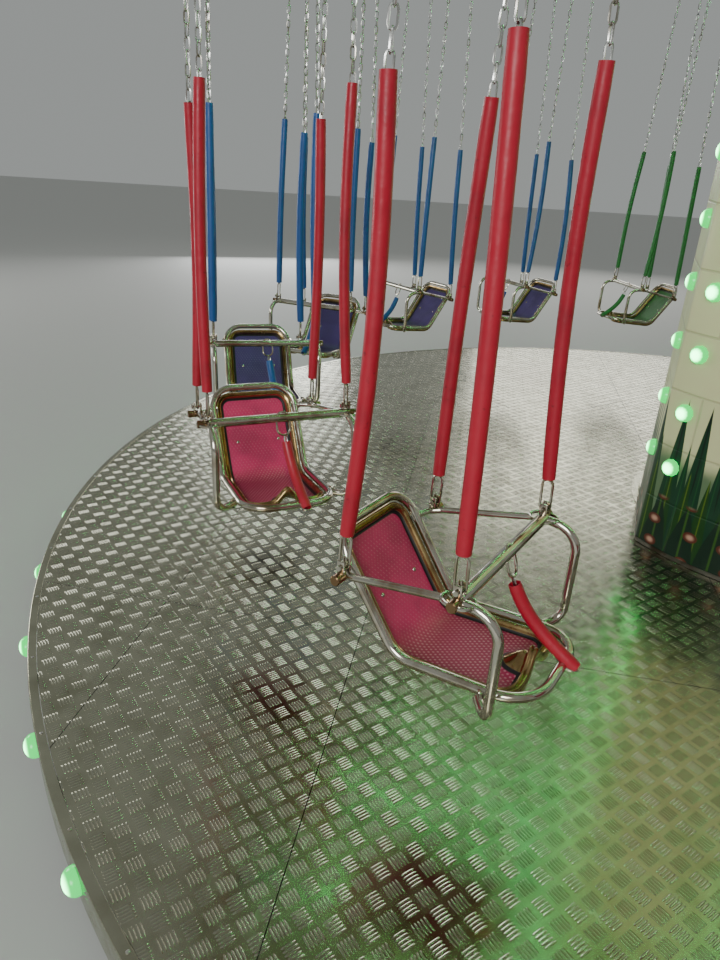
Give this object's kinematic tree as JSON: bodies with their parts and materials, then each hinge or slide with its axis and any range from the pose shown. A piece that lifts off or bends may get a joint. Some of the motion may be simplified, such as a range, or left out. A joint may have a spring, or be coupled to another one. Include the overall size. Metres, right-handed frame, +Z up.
{
  "type": "chair swing ride",
  "caption": "Small fairground swing ride: round tread-plate deck, clad centre column and a turning canopy top that carries hanging chairs on chains.",
  "frame": {"origin": "middle of the ride's footprint on the floor", "axes": "+Z up; chairs hang every 22.5 degrees from +X and face counterclockwise seen from above, each a little twisted"},
  "size_m": [6.9972, 7, 5.16],
  "materials": {
    "frame_paint": "worn satin paint",
    "tread_plate": "worn five-bar tread plate",
    "column_cream": "satin paint with faint block joints",
    "top_blue": "gloss paint",
    "board_yellow": "gloss paint",
    "canopy_sheet": "gloss paint in gores",
    "chair_chrome": "polished tube",
    "seat_magenta": "moulded shell with a woven look",
    "seat_purple": "moulded shell with a woven look",
    "seat_green": "moulded shell with a woven look",
    "seat_amber": "moulded shell with a woven look"
  },
  "bodies": {
    "stand": {"base_frame": "frame_paint", "deck_plate": "tread_plate", "deck_skirt": "frame_paint", "column_core": "column_cream", "column_bay_front": "column_cream", "column_bay_back": "column_cream"},
    "top": {"sweep": "top_blue", "rounding_boards": "board_yellow", "soffit": "top_blue", "canopy": "canopy_sheet", "crown": "top_blue"},
    "chair_01": {"chair_01_frame": "chair_chrome", "chair_01_seat": "seat_amber"},
    "chair_02": {"chair_02_frame": "chair_chrome", "chair_02_seat": "seat_green"},
    "chair_03": {"chair_03_frame": "chair_chrome", "chair_03_seat": "seat_green"},
    "chair_04": {"chair_04_frame": "chair_chrome", "chair_04_seat": "seat_green"},
    "chair_05": {"chair_05_frame": "chair_chrome", "chair_05_seat": "seat_green"},
    "chair_06": {"chair_06_frame": "chair_chrome", "chair_06_seat": "seat_purple"},
    "chair_07": {"chair_07_frame": "chair_chrome", "chair_07_seat": "seat_purple"},
    "chair_08": {"chair_08_frame": "chair_chrome", "chair_08_seat": "seat_purple"},
    "chair_09": {"chair_09_frame": "chair_chrome", "chair_09_seat": "seat_purple"},
    "chair_10": {"chair_10_frame": "chair_chrome", "chair_10_seat": "seat_magenta"},
    "chair_11": {"chair_11_frame": "chair_chrome", "chair_11_seat": "seat_magenta"},
    "chair_12": {"chair_12_frame": "chair_chrome", "chair_12_seat": "seat_magenta"},
    "chair_13": {"chair_13_frame": "chair_chrome", "chair_13_seat": "seat_magenta"},
    "chair_14": {"chair_14_frame": "chair_chrome", "chair_14_seat": "seat_amber"},
    "chair_15": {"chair_15_frame": "chair_chrome", "chair_15_seat": "seat_amber"},
    "chair_16": {"chair_16_frame": "chair_chrome", "chair_16_seat": "seat_amber"}
  },
  "joints": [
    {"name": "top_spin", "type": "hinge", "parent": "stand", "child": "top", "pos_m": [0, 0, 3.21], "axis": [0, 0, 1], "continuous": true},
    {"name": "chair_01_swing", "type": "hinge", "parent": "top", "child": "chair_01", "pos_m": [2.625, 0, 3.25], "axis": [0, -1, 0], "range_deg": [-10, 40]},
    {"name": "chair_02_swing", "type": "hinge", "parent": "top", "child": "chair_02", "pos_m": [2.42518, 1.00454, 3.25], "axis": [0.3827, -0.9239, 0], "range_deg": [-10, 40]},
    {"name": "chair_03_swing", "type": "hinge", "parent": "top", "child": "chair_03", "pos_m": [1.85615, 1.85615, 3.25], "axis": [0.7071, -0.7071, 0], "range_deg": [-10, 40]},
    {"name": "chair_04_swing", "type": "hinge", "parent": "top", "child": "chair_04", "pos_m": [1.00454, 2.42518, 3.25], "axis": [0.9239, -0.3827, 0], "range_deg": [-10, 40]},
    {"name": "chair_05_swing", "type": "hinge", "parent": "top", "child": "chair_05", "pos_m": [0, 2.625, 3.25], "axis": [1, 0, 0], "range_deg": [-10, 40]},
    {"name": "chair_06_swing", "type": "hinge", "parent": "top", "child": "chair_06", "pos_m": [-1.00454, 2.42518, 3.25], "axis": [0.9239, 0.3827, 0], "range_deg": [-10, 40]},
    {"name": "chair_07_swing", "type": "hinge", "parent": "top", "child": "chair_07", "pos_m": [-1.85615, 1.85615, 3.25], "axis": [0.7071, 0.7071, 0], "range_deg": [-10, 40]},
    {"name": "chair_08_swing", "type": "hinge", "parent": "top", "child": "chair_08", "pos_m": [-2.42518, 1.00454, 3.25], "axis": [0.3827, 0.9239, 0], "range_deg": [-10, 40]},
    {"name": "chair_09_swing", "type": "hinge", "parent": "top", "child": "chair_09", "pos_m": [-2.625, 0, 3.25], "axis": [0, 1, 0], "range_deg": [-10, 40]},
    {"name": "chair_10_swing", "type": "hinge", "parent": "top", "child": "chair_10", "pos_m": [-2.42518, -1.00454, 3.25], "axis": [-0.3827, 0.9239, 0], "range_deg": [-10, 40]},
    {"name": "chair_11_swing", "type": "hinge", "parent": "top", "child": "chair_11", "pos_m": [-1.85615, -1.85615, 3.25], "axis": [-0.7071, 0.7071, 0], "range_deg": [-10, 40]},
    {"name": "chair_12_swing", "type": "hinge", "parent": "top", "child": "chair_12", "pos_m": [-1.00454, -2.42518, 3.25], "axis": [-0.9239, 0.3827, 0], "range_deg": [-10, 40]},
    {"name": "chair_13_swing", "type": "hinge", "parent": "top", "child": "chair_13", "pos_m": [0, -2.625, 3.25], "axis": [-1, 0, 0], "range_deg": [-10, 40]},
    {"name": "chair_14_swing", "type": "hinge", "parent": "top", "child": "chair_14", "pos_m": [1.00454, -2.42518, 3.25], "axis": [-0.9239, -0.3827, 0], "range_deg": [-10, 40]},
    {"name": "chair_15_swing", "type": "hinge", "parent": "top", "child": "chair_15", "pos_m": [1.85615, -1.85615, 3.25], "axis": [-0.7071, -0.7071, 0], "range_deg": [-10, 40]},
    {"name": "chair_16_swing", "type": "hinge", "parent": "top", "child": "chair_16", "pos_m": [2.42518, -1.00454, 3.25], "axis": [-0.3827, -0.9239, 0], "range_deg": [-10, 40]}
  ]
}
